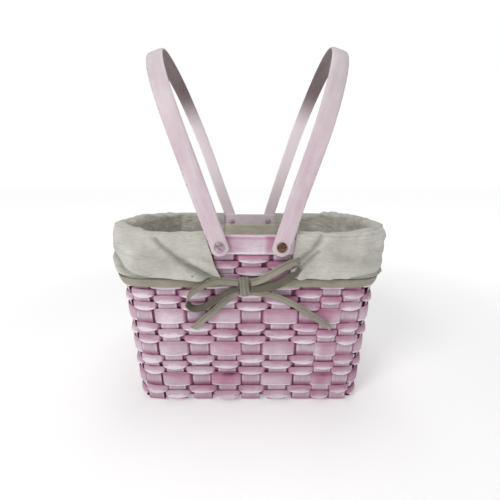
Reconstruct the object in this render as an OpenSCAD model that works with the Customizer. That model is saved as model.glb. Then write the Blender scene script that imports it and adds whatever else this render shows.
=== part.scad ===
// Oblong woven chip-wood basket with two folding bail handles, a turned-out
// cotton liner and a tape bow. The origin is the centre of the base, on the
// surface that the basket stands on. +X is right, +Y is back, +Z is up.

/* [Basket body] */
// Length of the rim, left to right
rim_length = 300; // [290:2:310]
// Depth of the rim, front to back
rim_depth = 226; // [220:2:230]
// Length of the base, left to right
base_length = 268; // [264:2:274]
// Depth of the base, front to back
base_depth = 202; // [198:2:206]
// Height of the rim above the table
basket_height = 206; // [202:1:210]
// Corner radius at the rim
rim_corner = 40; // [38:1:44]
// Corner radius at the base
base_corner = 28; // [26:1:32]

/* [Weave] */
// Thickness of the upright stakes
stake_thick = 1.2; // [1:0.1:1.4]
// Thickness of the weavers
weaver_thick = 1.2; // [1:0.1:1.4]
// Height of a wide weaver
wide_height = 18; // [16:0.5:18.5]
// Height of a narrow weaver
narrow_height = 6.8; // [6:0.2:7]
// Height of the middle of the lowest wide weaver
first_wide_z = 32.5; // [32:0.5:34]
// Step from one wide weaver to the next
wide_step = 41; // [40.4:0.2:41.2]
// How far a wide weaver swings out and in past the stakes
wide_swing = 2.2; // [2.2:0.1:2.4]
// How far a narrow weaver swings out and in past the stakes
narrow_swing = 1.8; // [1.7:0.1:2]

/* [Rim] */
// Height of the rim bands
rim_height = 20; // [18:1:20]
// Thickness of each rim band
rim_thick = 2; // [1.6:0.2:2]

/* [Handles] */
// Width of the handle strip
strip_width = 18.5; // [17:0.5:19]
// Thickness of the handle strip
strip_thick = 4; // [3.5:0.5:4.5]
// Height from the bolts to the top of an upright handle
handle_rise = 228; // [220:2:240]
// Height of the bolts above the table
bolt_z = 195; // [194:0.5:196]
// Outward lean of the left handle as it stands, in degrees
left_lean = 19.5; // [0:0.5:30]
// Outward lean of the right handle as it stands, in degrees
right_lean = 17.5; // [0:0.5:30]

/* [Liner] */
// Thickness of the turned-out cuff, a double layer of cotton
cuff_thick = 2.3; // [2:0.1:2.4]
// Height of the cuff's lower edge above the table
cuff_bottom = 160; // [158:1:162]
// Width of the tape that binds the cuff
tape_width = 8.8; // [7:0.2:9]

/* [Hidden] */
$fn = 64;
overlap = 0.2;
stake_count = 32;
quarter_count = 8;
// Places of the stakes from the front centre (0) to the side centre (1)
stake_steps = [0, 0.13, 0.262, 0.385, 0.485, 0.605, 0.74, 0.87, 1];
stake_widths = [21, 21, 21, 20, 18, 16, 20, 21, 21];
weave_margin = 0.8;
slat_gap = 0.05;
slat_inset = 0.3;
wide_count = 4;
narrow_count = 14;
rim_bottom = basket_height - rim_height;
rim_offset = stake_thick / 2 + 0.15;
inner_rim_offset = -(stake_thick / 2 + 1.85);
band_face = rim_offset + rim_thick;
washer_thick = 3.2;
leg_gap = 0.1;
leg_inner = rim_depth / 2 + band_face + washer_thick + leg_gap;
leg_outer = leg_inner + strip_thick;
leg_straight = handle_rise - leg_outer;
shank_radius = 2.43;
strip_bore = 2.5;
wall_bore = 2.7;
head_radius = 5.2;
nut_radius = 4.6;
nut_thick = 3;
wall_inner = rim_depth / 2 + inner_rim_offset - rim_thick;
bag_offset = -3.9;
bag_thick = 1.5;
bag_floor = 2.7;
bag_top = rim_bottom - 1;
cuff_offset = band_face + 0.3;
cuff_inner_offset = inner_rim_offset - rim_thick - 0.2;
cuff_notch = 46;
tape_offset = cuff_offset - 0.1;
tape_thick = 3;
tape_bottom = cuff_bottom - 0.1 - tape_width;
tie_thick = 1.6;
left_tape_end = -30;
right_tape_end = 41;
knot_low = [-12.5, -124.5, 141.5];
knot_size = [13, 9.5, 21.5];
tie_radius = 2.5;
tie_sides = 8;
// Middle line of the left loop of the bow, from the knot and back to it
loop_left_route = [
    [-12.5, -122, 157.5], [-20, -122.5, 158.5], [-37, -123, 159], [-53, -123, 152.5],
    [-64, -122.5, 143.5], [-67, -121.5, 134.5], [-61, -120, 128], [-51, -119.5, 128.5],
    [-37, -120, 137.5], [-22, -121.5, 147.5], [-12.5, -122, 151]
];
// Middle line of the left tail
tail_left_route = [
    [-12.5, -117.5, 145.5], [-20, -117, 141], [-32, -116.5, 130],
    [-46, -115.5, 117], [-63, -114.5, 102]
];
// Middle line of the right loop, which folds up over the cuff
loop_right_route = [
    [0.5, -122, 157.5], [10, -123, 160.5], [22, -124, 167.5], [36, -124.5, 176],
    [46, -124.5, 180], [49, -124, 173.5], [42, -123.5, 164.5], [28, -123.5, 155.5],
    [13, -122.5, 151.5], [0.5, -122, 151]
];
// Middle line of the right tail
tail_right_route = [
    [0.5, -117.5, 145.5], [12, -118, 144], [27, -117.5, 140.5], [41, -117, 134],
    [55, -116.5, 126], [72, -115.5, 114.5], [89, -114.5, 103]
];

wide_names = [for (i = [1:wide_count]) str("wide_weaver_", i)];
narrow_names = [for (i = [1:narrow_count]) str("narrow_weaver_", i)];
cross_names = [for (i = [1:9]) str("cross_stake_", i)];
long_names = [for (i = [1:7]) str("long_stake_", i)];

// Sizes of the wall's outline at height z
function between(low, high, z) = low + (high - low) * z / basket_height;
function half_length(z) = between(base_length, rim_length, z) / 2;
function half_depth(z) = between(base_depth, rim_depth, z) / 2;
function corner_radius(z) = between(base_corner, rim_corner, z);
function front_run(z) = half_length(z) - corner_radius(z);
function corner_run(z) = PI * corner_radius(z) / 2;
function side_run(z) = half_depth(z) - corner_radius(z);
function quarter_run(z) = front_run(z) + corner_run(z) + side_run(z);

// Point of the outline at a distance s from the front centre, with the turn
// of the wall there: [x, y, degrees]
function quarter_point(s, z) =
    let (front = front_run(z), corner = corner_run(z), radius = corner_radius(z))
    let (turn = 90 * min(1, max(0, (s - front) / corner)))
    let (x = min(s, front) + radius * sin(turn))
    let (y = -side_run(z) - radius * cos(turn) + max(0, s - front - corner))
    [x, y, turn];

// The same point carried to the back right, back left and front left quarters
function in_quarter(p, quarter) =
    quarter == 0 ? p
    : quarter == 1 ? [p[0], -p[1], 180 - p[2]]
    : quarter == 2 ? [-p[0], -p[1], 180 + p[2]]
    : [-p[0], p[1], -p[2]];

// Stakes are numbered round the basket from the front centre towards the right
function quarter_of(k) = floor(k / quarter_count);
function place_of(k) =
    quarter_of(k) % 2 == 0 ? k % quarter_count : quarter_count - k % quarter_count;
function stake_point(k, z) =
    in_quarter(quarter_point(stake_steps[place_of(k)] * quarter_run(z), z), quarter_of(k));
function stake_width(k) = stake_widths[place_of(k)];
function turn_of(k) = stake_point(k, basket_height / 2)[2];
function along(k) = [cos(turn_of(k)), sin(turn_of(k))];
function outward(k) = [sin(turn_of(k)), -cos(turn_of(k))];
function plan(p) = [p[0], p[1]];
function stake_middle(k, z) =
    let (foot = plan(stake_point(k, 0)), head = plan(stake_point(k, basket_height)))
    foot + (head - foot) * z / basket_height;

// The two ends of a weaver's flat across stake k, standing off by offset
function flat_ends(k, z, offset) =
    let (reach = stake_width(k) / 2 + weave_margin)
    [for (side = [-1, 1]) stake_middle(k, z) + along(k) * side * reach + outward(k) * offset];
function weave_line(z, over, swing, shift) =
    [for (k = [0:stake_count - 1]) each flat_ends(k, z, (k % 2 == over ? swing : -swing) + shift)];
function rim_line(offset, first = 0, last = stake_count - 1) =
    [for (k = [first:last]) each flat_ends(k, basket_height, offset)];

// Narrow weavers: two below the lowest wide weaver, then three above each
function wide_z(i) = first_wide_z + (i - 1) * wide_step;
function narrow_group(i) = floor(i / 3);
function gap_low(g) = g == 0 ? wide_z(1) - wide_height / 2 - 3 * narrow_pitch(g)
    : wide_z(g) + wide_height / 2;
function narrow_pitch(g) = g == wide_count ? (rim_bottom - wide_z(g) - wide_height / 2) / 3
    : (wide_step - wide_height) / 3;
function narrow_z(i) =
    gap_low(narrow_group(i)) + (i % 3 + 0.5) * narrow_pitch(narrow_group(i));
function narrow_over(i) = narrow_group(i) == 0 ? i % 2 : (i % 3) % 2;

module ring(z_low, height, outer, inner) {
    translate([0, 0, z_low])
        linear_extrude(height)
            difference() {
                polygon(outer);
                polygon(inner);
            }
}

module woven_ring(z, height, over, swing) {
    ring(
        z - height / 2, height,
        weave_line(z, over, swing, weaver_thick / 2),
        weave_line(z, over, swing, -weaver_thick / 2)
    );
}

// A weaver: odd stakes are covered by the wide ones
module wide_weaver(i) {
    color("#e0c4d6")
        woven_ring(wide_z(i), wide_height, 1, wide_swing);
}

module narrow_weaver(i) {
    color("#d3a3bd")
        woven_ring(narrow_z(i), narrow_height, narrow_over(i), narrow_swing);
}

// The upright part of stake k, leaning with the wall and cut level at its ends
module stake_upright(k, low) {
    foot = stake_middle(k, 0);
    lean = stake_middle(k, basket_height) - foot;
    sideways = lean * along(k);
    outwards = lean * outward(k);
    rise = norm([sideways, outwards, basket_height]);
    top = basket_height - 0.5;
    intersection() {
        translate([foot[0], foot[1], 0])
            rotate([0, 0, turn_of(k)])
                rotate([asin(outwards / rise), atan(sideways / basket_height), 0])
                    translate([-stake_width(k) / 2, -stake_thick / 2, -5])
                        cube([stake_width(k), stake_thick, rise + 10]);
        translate([-rim_length, -rim_depth, low])
            cube([2 * rim_length, 2 * rim_depth, top - low]);
    }
}

// Holes for the four handle bolts, along the front-to-back direction
module bolt_bores(radius) {
    for (side = [-1, 1])
        translate([side * bolt_x, 0, bolt_z])
            rotate([90, 0, 0])
                cylinder(h = 2 * rim_depth, r = radius, center = true);
}

bolt_x = stake_middle(1, bolt_z)[0];

// A stake that runs down the front, under the basket and up the back.
// Number 1 is the leftmost.
module cross_stake(i) {
    front = (i - 5 + stake_count) % stake_count;
    back = (quarter_count * 2 + 5 - i) % stake_count;
    floor_low = stake_thick + slat_gap;
    width = stake_width(front) - 2 * slat_inset;
    x = stake_middle(front, 0)[0];
    color("#dcc6d4")
        difference() {
            union() {
                stake_upright(front, floor_low);
                stake_upright(back, floor_low);
                translate([x - width / 2, -base_depth / 2, floor_low])
                    cube([width, base_depth, stake_thick]);
            }
            if (abs(i - 5) == 1)
                bolt_bores(wall_bore);
        }
}

// The floor slat of a corner stake, trimmed along the slanting upright
module corner_slat(k) {
    foot = stake_middle(k, 0);
    slope = along(k)[0] / along(k)[1];
    half = stake_width(k) / 2;
    side = sign(foot[1]);
    near = foot[1] + side * 6;
    far = foot[1] - side * (2 * half - 6);
    near_x = abs(foot[0] + (near - foot[1]) * slope);
    far_x = abs(foot[0] + (far - foot[1]) * slope) - 1;
    linear_extrude(stake_thick)
        polygon([[-near_x, near], [near_x, near], [far_x, far], [-far_x, far]]);
}

// A stake that runs down the left side, under the basket and up the right.
// Number 1 is the frontmost.
module long_stake(i) {
    right = i + 4;
    left = stake_count - right;
    width = stake_width(right) - 2 * slat_inset;
    y = stake_middle(right, 0)[1];
    color("#d8bfcf")
        union() {
            stake_upright(right, 0);
            stake_upright(left, 0);
            if (i == 1 || i == 7)
                corner_slat(right);
            else
                translate([-base_length / 2, y - width / 2, 0])
                    cube([base_length, width, stake_thick]);
        }
}

module rim_outer() {
    color("#dcb2cb")
        difference() {
            ring(rim_bottom, rim_height, rim_line(band_face), rim_line(rim_offset));
            bolt_bores(wall_bore);
        }
}

module rim_inner() {
    color("#d7a9c4")
        difference() {
            ring(
                rim_bottom, rim_height,
                rim_line(inner_rim_offset), rim_line(inner_rim_offset - rim_thick)
            );
            bolt_bores(wall_bore);
        }
}

// Side view of an upright bail: two straight legs and a half-round arch
module bail_profile() {
    difference() {
        translate([0, leg_straight])
            circle(r = leg_outer, $fn = 128);
        translate([0, leg_straight])
            circle(r = leg_inner, $fn = 128);
        translate([-2 * leg_outer, leg_straight - 2 * leg_outer])
            square([4 * leg_outer, 2 * leg_outer]);
    }
    for (side = [-1, 1])
        translate([side * (leg_inner + strip_thick / 2) - strip_thick / 2, 0])
            square([strip_thick, leg_straight]);
}

// A bent strip with a rounded foot round each bolt
module bail(side, lean) {
    translate([side * bolt_x, 0, bolt_z])
        rotate([0, side * lean, 0])
            difference() {
                union() {
                    rotate([90, 0, 90])
                        translate([0, 0, -strip_width / 2])
                            linear_extrude(strip_width)
                                bail_profile();
                    for (face = [-leg_inner, leg_outer])
                        translate([0, face, 0])
                            rotate([90, 0, 0])
                                cylinder(h = strip_thick, r = strip_width / 2);
                }
                rotate([90, 0, 0])
                    cylinder(h = 3 * rim_depth, r = strip_bore, center = true);
            }
}

module handle_left() {
    color("#dcc6d0")
        bail(-1, left_lean);
}

module handle_right() {
    color("#dcc6d0")
        bail(1, right_lean);
}

// A round-headed slotted bolt along -Y, its shank ending inside the wall
module bolt() {
    head_face = leg_outer + leg_gap;
    translate([0, -head_face, 0])
        rotate([90, 0, 0])
            difference() {
                union() {
                    cylinder(h = 1.6, r = head_radius);
                    translate([0, 0, 1.6])
                        cylinder(h = 0.9, r1 = head_radius, r2 = head_radius - 1.6);
                }
                translate([-head_radius, -0.6, 1.6])
                    cube([2 * head_radius, 1.2, 1.2]);
            }
    translate([0, -wall_inner + nut_thick, 0])
        rotate([90, 0, 0])
            cylinder(h = head_face - wall_inner + nut_thick + overlap, r = shank_radius);
}

module at_bolts(side) {
    for (turn = [0, 180])
        translate([side * bolt_x, 0, bolt_z])
            rotate([0, 0, turn])
                children();
}

module bolts_left() {
    color("#a89aa0")
        at_bolts(-1) bolt();
}

module bolts_right() {
    color("#5f4b37")
        at_bolts(1) bolt();
}

// Spacing washers between the rim and the handle feet
module washers() {
    color("#8d8790")
        for (side = [-1, 1])
            at_bolts(side)
                translate([0, -rim_depth / 2 - band_face, 0])
                    rotate([90, 0, 0])
                        difference() {
                            cylinder(h = washer_thick, r = head_radius + 0.8);
                            translate([0, 0, -1])
                                cylinder(h = washer_thick + 2, r = wall_bore);
                        }
}

// Hexagonal nuts on the inside of the rim
module nuts() {
    color("#8d8790")
        for (side = [-1, 1])
            at_bolts(side)
                translate([0, nut_thick - wall_inner, 0])
                    rotate([90, 0, 0])
                        difference() {
                            cylinder(h = nut_thick, r = nut_radius, $fn = 6);
                            translate([0, 0, -1])
                                cylinder(h = nut_thick + 2, r = wall_bore);
                        }
}

// One level of the bag's outline, a point at each stake
function bag_level(z, offset) = [
    for (k = [0:stake_count - 1])
        let (p = stake_middle(k, z) + outward(k) * offset)
        [p[0], p[1], z]
];
function wall_faces(low, high, n) =
    [for (i = [0:n - 1]) [low + i, low + (i + 1) % n, high + (i + 1) % n, high + i]];
function span(first, n) = [for (i = [0:n - 1]) first + i];
function reversed(list) = [for (i = [len(list) - 1:-1:0]) list[i]];

// The part of the liner that stands inside the weave, open at the top
module liner_bag() {
    n = stake_count;
    inner_offset = bag_offset - bag_thick;
    points = concat(
        bag_level(bag_floor, bag_offset), bag_level(bag_top, bag_offset),
        bag_level(bag_top, inner_offset), bag_level(bag_floor + bag_thick, inner_offset),
        [[0, 0, bag_floor], [0, 0, bag_floor + bag_thick]]
    );
    faces = concat(
        wall_faces(n, 0, n), wall_faces(2 * n, n, n), wall_faces(3 * n, 2 * n, n),
        [for (i = [0:n - 1]) [4 * n, i, (i + 1) % n]],
        [for (i = [0:n - 1]) [4 * n + 1, 3 * n + (i + 1) % n, 3 * n + i]]
    );
    color("#bdb9ae")
        polyhedron(points, faces, convexity = 6);
}

// Outline of a wrap from the front to the back along the right side
function wrap_line(offset, front_x, back_x) = concat(
    [[front_x, -rim_depth / 2 - offset]],
    rim_line(offset, 2, 14),
    [[back_x, rim_depth / 2 + offset]]
);

module wrap(z_low, z_high, outer, inner, front_x, back_x) {
    translate([0, 0, z_low])
        linear_extrude(z_high - z_low)
            polygon(concat(
                wrap_line(outer, front_x, back_x),
                reversed(wrap_line(inner, front_x, back_x))
            ));
}

// Right half of the turned-out cuff: inside, over the rim, and down outside
module cuff() {
    fold = basket_height + 0.3;
    top = fold + cuff_thick;
    outer = cuff_offset + cuff_thick;
    inner = cuff_inner_offset - cuff_thick;
    wrap(cuff_bottom, top, outer, cuff_offset, cuff_notch, cuff_notch);
    wrap(fold, top, outer, inner, cuff_notch, cuff_notch);
    wrap(bag_top + 0.3, top, cuff_inner_offset, inner, cuff_notch, cuff_notch);
}

module cuff_right() {
    color("#ccc9bf")
        cuff();
}

module cuff_left() {
    face = -rim_depth / 2 - cuff_offset;
    color("#ccc9bf")
        union() {
            mirror([1, 0, 0])
                cuff();
            // The pointed front corner that the tape pulls towards the bow
            translate([0, face, 0])
                rotate([90, 0, 0])
                    linear_extrude(cuff_thick)
                        polygon([
                            [-cuff_notch, cuff_bottom], [left_tape_end, cuff_bottom],
                            [-cuff_notch, cuff_bottom + 26]
                        ]);
        }
}

// Tape that binds the lower edge, crosses the back gap and ends at the knot
module hem_tape() {
    line = rim_line(tape_offset + tape_thick, 2, 30);
    back_line = reversed(rim_line(tape_offset, 2, 30));
    front = -rim_depth / 2 - tape_offset;
    tie_low = tape_bottom + 1;
    tie_height = tape_width - 2;
    color("#aeaa9b")
        union() {
            translate([0, 0, tape_bottom])
                linear_extrude(tape_width)
                    polygon(concat(
                        [[right_tape_end, front - tape_thick]], line,
                        [[left_tape_end, front - tape_thick]],
                        [[left_tape_end, front]], back_line, [[right_tape_end, front]]
                    ));
            translate([left_tape_end - 1, front - tie_thick, tie_low])
                cube([knot_low[0] - left_tape_end + 1, tie_thick, tie_height]);
            translate([knot_low[0] + knot_size[0], front - tie_thick, tie_low])
                cube([right_tape_end - knot_low[0] - knot_size[0] + 1, tie_thick, tie_height]);
        }
}

module bow_knot() {
    color("#a7a393")
        translate(knot_low)
            cube(knot_size);
}

// A tube of even thickness along a route that lies mostly in an upright plane
function unit(v) = v / norm(v);
function on_knot(p) = p[0] == knot_low[0] || p[0] == knot_low[0] + knot_size[0];
function direction(route, i) =
    let (ahead = route[min(i + 1, len(route) - 1)] - route[max(i - 1, 0)])
    on_knot(route[i]) ? [sign(ahead[0]), 0, 0] : unit(ahead);
function tube_ring(route, i) =
    let (ahead = direction(route, i))
    let (across = unit(cross(ahead, [0, 1, 0])))
    let (beside = cross(across, ahead))
    [for (s = [0:tie_sides - 1])
        let (angle = 360 * (s + 0.5) / tie_sides)
        route[i] + tie_radius * (across * cos(angle) + beside * sin(angle))];

module tube(route) {
    n = tie_sides;
    last = len(route) - 1;
    points = [for (i = [0:last]) each tube_ring(route, i)];
    faces = concat(
        [for (i = [0:last - 1]) each wall_faces((i + 1) * n, i * n, n)],
        [span(0, n)], [reversed(span(last * n, n))]
    );
    polyhedron(points, faces, convexity = 6);
}

module bow_loop_left() {
    color("#a7a393")
        tube(loop_left_route);
}

module bow_loop_right() {
    color("#a7a393")
        tube(loop_right_route);
}

module bow_tail_left() {
    color("#a7a393")
        tube(tail_left_route);
}

module bow_tail_right() {
    color("#a7a393")
        tube(tail_right_route);
}

for (i = [1:9])
    cross_stake(i);
for (i = [1:7])
    long_stake(i);
for (i = [1:wide_count])
    wide_weaver(i);
for (i = [1:narrow_count])
    narrow_weaver(i);
rim_outer();
rim_inner();
handle_left();
handle_right();
bolts_left();
bolts_right();
washers();
nuts();
liner_bag();
cuff_left();
cuff_right();
hem_tape();
bow_knot();
bow_loop_left();
bow_loop_right();
bow_tail_left();
bow_tail_right();
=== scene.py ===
"""Painted chip-wood basket with folding bail handles, a cotton liner and a tape bow.

Lengths are in millimetres while a shape is worked out, and become metres in make_mesh.
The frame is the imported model's: X right, Y back, Z up, origin at the centre of the base.
"""

import math

import bpy
import numpy as np
from mathutils import Euler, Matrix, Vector


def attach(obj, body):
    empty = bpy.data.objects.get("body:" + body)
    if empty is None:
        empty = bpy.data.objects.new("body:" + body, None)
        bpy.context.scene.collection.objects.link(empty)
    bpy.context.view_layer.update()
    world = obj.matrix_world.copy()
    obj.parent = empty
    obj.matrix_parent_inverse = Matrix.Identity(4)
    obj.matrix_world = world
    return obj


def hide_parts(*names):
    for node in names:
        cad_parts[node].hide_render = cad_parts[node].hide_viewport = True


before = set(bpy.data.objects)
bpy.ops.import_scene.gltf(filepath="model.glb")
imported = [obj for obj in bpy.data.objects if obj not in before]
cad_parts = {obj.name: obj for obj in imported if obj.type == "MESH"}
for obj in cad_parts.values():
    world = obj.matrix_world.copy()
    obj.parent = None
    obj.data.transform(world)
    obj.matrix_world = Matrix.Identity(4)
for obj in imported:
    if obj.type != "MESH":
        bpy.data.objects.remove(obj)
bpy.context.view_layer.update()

MM = 0.001
rng = np.random.default_rng(12)

# -------- camera

# Place in millimetres, angles in degrees
CAMERA_AT = (-2.5, -421.4, 257.4)
CAMERA_PITCH = 12.27
CAMERA_ROLL = 0.28
CAMERA_YAW = -0.365
LENS = 21.69
SENSOR_WIDTH = 36.0


def add_camera():
    data = bpy.data.cameras.new("camera")
    data.sensor_width = SENSOR_WIDTH
    data.lens = LENS
    data.clip_start = 0.01
    camera = bpy.data.objects.new("camera", data)
    camera.location = Vector(CAMERA_AT) * MM
    turn = Euler((math.radians(90 - CAMERA_PITCH), 0, math.radians(CAMERA_YAW)))
    roll = Euler((0, 0, math.radians(CAMERA_ROLL)))
    camera.rotation_euler = (turn.to_matrix() @ roll.to_matrix()).to_euler()
    bpy.context.collection.objects.link(camera)
    bpy.context.scene.camera = camera


add_camera()

# -------- basket sizes

HEIGHT = 206.0
BASE_LENGTH, RIM_LENGTH = 268.0, 300.0
BASE_DEPTH, RIM_DEPTH = 202.0, 226.0
BASE_CORNER, RIM_CORNER = 28.0, 40.0
FRONT = RIM_DEPTH / 2
STAKES = 32
# Where the nine stakes of each quarter stand along it, and their widths
STAKE_STEPS = [0, 0.13, 0.262, 0.385, 0.485, 0.605, 0.74, 0.87, 1]
STAKE_WIDTHS = [22.0, 22.0, 22.0, 21.0, 19.5, 18.5, 21.0, 22.0, 22.0]
# How far the stakes that show at the front stand off their even places
DRIFT = {28: -0.14, 30: 0.08, 31: 0.1, 0: 0.04, 1: 0.1, 2: 0.12, 3: -0.07, 4: -0.07}
# How far the right end has been pressed in out of true
RIGHT_SQUEEZE = 3.0
FIRST_WIDE_Z = 32.5
WIDE_STEP = 41.0
WIDE_HEIGHT = 18.0
WIDE_ROWS = [FIRST_WIDE_Z + i * WIDE_STEP for i in range(4)]
RIM_BOTTOM = 186.0
# Offsets from the middle of the wall: the faces of the rim bands, and the liner
RIM_OUTER = (0.75, 2.75)
RIM_INNER = (-4.45, -2.45)
LINER_OFFSET = -4.15
# A quarter of the way round the rim
RIM_QUARTER = 245.83
BOLT_X = 31.8
BOLT_Z = 195.0
LEG_INNER = FRONT + 6.05
STRIP_THICK = 4.0
STRIP_WIDTH = 18.5
HANDLE_RISE = 230.0
LEFT_LEAN = 19.5
RIGHT_LEAN = 17.5


def ease(low, high, x):
    """0 before low and 1 after high, with a smooth step between."""
    t = np.clip((np.asarray(x, float) - low) / (high - low), 0, 1)
    return t * t * (3 - 2 * t)


def unit(v):
    v = np.asarray(v, float)
    return v / np.maximum(np.linalg.norm(v, axis=-1, keepdims=True), 1e-9)


def square_to(ahead, v):
    """The unit vector nearest to v that is square to the unit vector ahead."""
    return unit(v - ahead * np.sum(ahead * v, -1, keepdims=True))


def lift(plan, z):
    """Points of a plan at the heights z."""
    return np.concatenate([plan, z[..., None]], -1)


def outline(share, z):
    """Middle of the wall at height z: its point and the outward direction in plan. share
    goes from 0 at the front centre round by the right to 4."""
    share, z = np.broadcast_arrays(np.asarray(share, float) % 4, np.asarray(z, float))
    quarter = np.floor(share).astype(int)
    part = share - quarter
    part = np.where(quarter % 2 == 0, part, 1 - part)
    rise = z / HEIGHT
    half_x = (BASE_LENGTH + (RIM_LENGTH - BASE_LENGTH) * rise) / 2
    half_y = (BASE_DEPTH + (RIM_DEPTH - BASE_DEPTH) * rise) / 2
    radius = BASE_CORNER + (RIM_CORNER - BASE_CORNER) * rise
    front, corner, side = half_x - radius, math.pi * radius / 2, half_y - radius
    s = part * (front + corner + side)
    turn = np.clip((s - front) / corner, 0, 1) * math.pi / 2
    x = np.minimum(s, front) + radius * np.sin(turn)
    y = -side - radius * np.cos(turn) + np.maximum(0, s - front - corner)
    flip = np.stack([np.where(quarter >= 2, -1, 1), np.where((quarter + 1) // 2 == 1, -1, 1)], -1)
    at = np.stack([x, y], -1) * flip
    at[..., 0] -= RIGHT_SQUEEZE * ease(60, 150, at[..., 0])
    return at, np.stack([np.sin(turn), -np.cos(turn)], -1) * flip


def wall(place, z):
    """The same, by stake number: 0 is the front centre, 8 the right, 16 the back."""
    place = np.asarray(place, float)
    drift = [DRIFT.get(k % STAKES, 0.0) for k in range(STAKES + 1)]
    place = (place + np.interp(place % STAKES, range(STAKES + 1), drift)) % STAKES
    quarter = np.floor(place / 8)
    step = place - quarter * 8
    mirrored = quarter % 2 == 1
    part = np.interp(np.where(mirrored, 8 - step, step), range(9), STAKE_STEPS)
    return outline(quarter + np.where(mirrored, 1 - part, part), z)


def wall_frame(place, z, offset):
    """Points standing off the wall by offset, with the wall's up and outward directions."""
    at, out = wall(place, z)
    above, _ = wall(place, np.asarray(z, float) + 1)
    place, z = np.broadcast_arrays(np.asarray(place, float), np.asarray(z, float))
    offset = np.broadcast_to(np.asarray(offset, float), z.shape)
    up = unit(lift(above - at, np.ones(z.shape)))
    outward = square_to(up, lift(out, np.zeros(z.shape)))
    return lift(at + out * offset[..., None], z), up, outward


class Wobble:
    """Smooth seeded noise of one variable that repeats after a given length."""

    def __init__(self, length, knots):
        self.length, self.values = length, rng.normal(size=knots)

    def __call__(self, x):
        t = (np.asarray(x, float) / self.length % 1) * len(self.values)
        i = np.floor(t).astype(int)
        f, n = ease(0, 1, t - i), len(self.values)
        return self.values[i % n] * (1 - f) + self.values[(i + 1) % n] * f


# -------- mesh making


def make_mesh(name, points, faces, uvs=None, attributes=None):
    """A mesh object from millimetre points. uvs holds one pair for each face corner."""
    mesh = bpy.data.meshes.new(name)
    mesh.from_pydata((np.asarray(points) * MM).tolist(), [], faces)
    if uvs is not None:
        layer = mesh.uv_layers.new(name="strip")
        layer.data.foreach_set("uv", np.asarray(uvs, np.float32).ravel())
    for key, values in (attributes or {}).items():
        data = mesh.attributes.new(key, "FLOAT", "POINT")
        data.data.foreach_set("value", np.asarray(values, np.float32).ravel())
    mesh.polygons.foreach_set("use_smooth", np.ones(len(mesh.polygons), bool))
    mesh.update()
    obj = bpy.data.objects.new(name, mesh)
    bpy.context.collection.objects.link(obj)
    return obj


def run_along(line):
    """How far along a line each of its points is."""
    return np.concatenate([[0], np.cumsum(np.linalg.norm(np.diff(line, axis=0), axis=1))])


def grid(rings, closed_path, closed_ring, caps, attributes):
    """Points, faces, uvs and attributes of a skin over rings, an array (n, m, 3)."""
    rings = np.asarray(rings, float)
    n, m = rings.shape[:2]
    i = np.arange(n if closed_path else n - 1)
    j = np.arange(m if closed_ring else m - 1)
    ii, jj = np.meshgrid(i, j, indexing="ij")
    corners = ((0, 0), (1, 0), (1, 1), (0, 1))
    quads = np.stack([(ii + a) % n * m + (jj + b) % m for a, b in corners], -1).reshape(-1, 4)
    middle = rings.mean(1)
    follow = np.concatenate([middle, middle[:1]]) if closed_path else middle
    along = run_along(follow)
    across = run_along(np.concatenate([rings[0], rings[0][:1]]))
    uv = np.stack([np.stack([along[ii + a], across[jj + b]], -1) for a, b in corners], 2)
    faces = quads.tolist()
    uvs = (uv.reshape(-1, 2) * MM).tolist()
    if caps and not closed_path:
        for first, order in ((0, 1), ((n - 1) * m, -1)):
            faces.append([first + k for k in range(m)][::order])
            uvs += [[along[0] * MM, k * MM] for k in range(m)]
    spread = {key: np.broadcast_to(np.clip(v, 0, 1), (n, m)) for key, v in attributes.items()}
    return rings.reshape(-1, 3), faces, uvs, spread


def tube(rings, **attributes):
    """A closed skin over the rings of a piece with two capped ends."""
    return grid(rings, False, True, True, attributes)


def hoop(rings, **attributes):
    """A closed skin over the rings of a piece that runs round to its own start."""
    return grid(rings, True, True, False, attributes)


def join_grids(name, *grids):
    """One object from one or more grids."""
    points, faces, uvs, attributes = [], [], [], {}
    for part_points, part_faces, part_uvs, part_attributes in grids:
        base = sum(len(p) for p in points)
        points.append(part_points)
        faces += [[base + k for k in face] for face in part_faces]
        uvs += part_uvs
        for key, values in part_attributes.items():
            attributes.setdefault(key, []).append(values.ravel())
    merged = {key: np.concatenate(values) for key, values in attributes.items()}
    return make_mesh(name, np.concatenate(points), faces, uvs, merged)


def strip_section(count):
    """Cross-section of a flat strip: places across it and through it, each -1 to 1."""
    angle = np.arange(count) * 2 * math.pi / count
    across = np.sign(np.cos(angle)) * np.abs(np.cos(angle)) ** 0.55
    through = np.sign(np.sin(angle)) * np.abs(np.sin(angle)) ** 0.4
    return across, through


def sweep(path, sides, normals, across, depth):
    """Rings along a path. across and depth place each ring's points along the two
    directions, with a row for each point of the path."""
    return path[:, None] + sides[:, None] * across[..., None] + normals[:, None] * depth[..., None]


# -------- weave


def over_amount(place, over):
    """+1 in the middle of a stake that the weaver covers, -1 behind the next one."""
    return np.cos(math.pi * (np.asarray(place, float) - over))


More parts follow.
